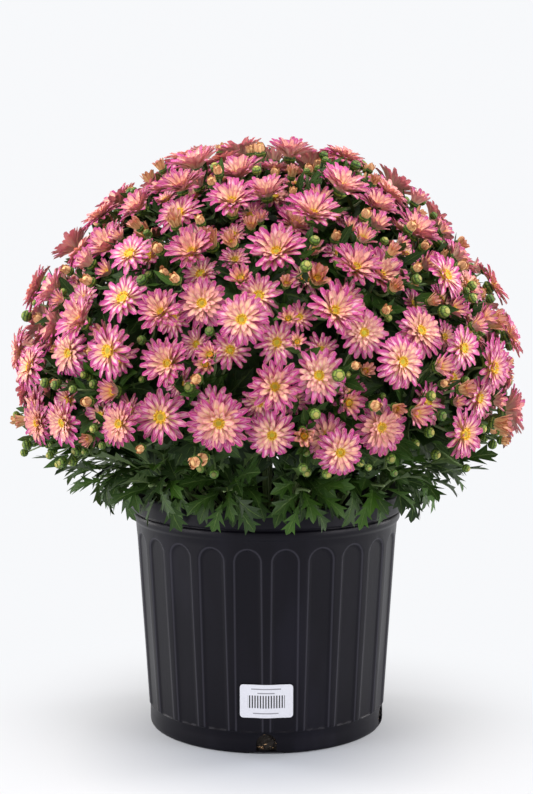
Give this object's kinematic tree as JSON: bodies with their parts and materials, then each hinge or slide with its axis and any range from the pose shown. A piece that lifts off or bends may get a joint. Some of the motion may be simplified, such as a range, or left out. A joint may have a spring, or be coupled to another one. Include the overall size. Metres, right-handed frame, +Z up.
{
  "type": "pot chrysanthemum",
  "caption": "Garden chrysanthemum in bloom: a dense dome of pink double daisies over dark lobed leaves, growing in a fluted black nursery pot with bark on its soil.",
  "frame": {"origin": "middle of the flat underside of the pot", "axes": "+Z up along the pot's axis, -Y to the front where the label is, +X to the viewer's right"},
  "size_m": [0.5146, 0.5158, 0.5958],
  "materials": {
    "black_plastic": "blow-moulded, satin",
    "bark_soil": "damp composted bark, matt",
    "white_paper": "coated sticker, satin",
    "pink_petals": "soft petals, matt",
    "green_leaves": "leaf, satin"
  },
  "bodies": {
    "root": {"flowering_stem_01": "pink_petals", "flowering_stem_02": "pink_petals", "flowering_stem_03": "pink_petals", "flowering_stem_04": "pink_petals", "flowering_stem_05": "pink_petals", "flowering_stem_06": "pink_petals", "flowering_stem_07": "pink_petals", "flowering_stem_08": "pink_petals", "flowering_stem_09": "pink_petals", "flowering_stem_10": "pink_petals", "flowering_stem_11": "pink_petals", "flowering_stem_12": "pink_petals", "flowering_stem_13": "pink_petals", "flowering_stem_14": "pink_petals", "flowering_stem_15": "pink_petals", "flowering_stem_16": "pink_petals", "flowering_stem_17": "pink_petals", "flowering_stem_18": "pink_petals", "flowering_stem_19": "pink_petals", "flowering_stem_20": "pink_petals", "flowering_stem_21": "pink_petals", "flowering_stem_22": "pink_petals", "flowering_stem_23": "pink_petals", "flowering_stem_24": "pink_petals", "flowering_stem_25": "pink_petals", "flowering_stem_26": "pink_petals", "flowering_stem_27": "pink_petals", "flowering_stem_28": "pink_petals", "flowering_stem_29": "pink_petals", "flowering_stem_30": "pink_petals", "flowering_stem_31": "pink_petals", "label": "white_paper", "leafy_stem_01": "green_leaves", "leafy_stem_02": "green_leaves", "leafy_stem_03": "green_leaves", "leafy_stem_04": "green_leaves", "leafy_stem_05": "green_leaves", "leafy_stem_06": "green_leaves", "leafy_stem_07": "green_leaves", "leafy_stem_08": "green_leaves", "leafy_stem_09": "green_leaves", "leafy_stem_10": "green_leaves", "leafy_stem_11": "green_leaves", "leafy_stem_12": "green_leaves", "leafy_stem_13": "green_leaves", "leafy_stem_14": "green_leaves", "leafy_stem_15": "green_leaves", "pot": "black_plastic", "soil": "bark_soil"}
  },
  "joints": []
}
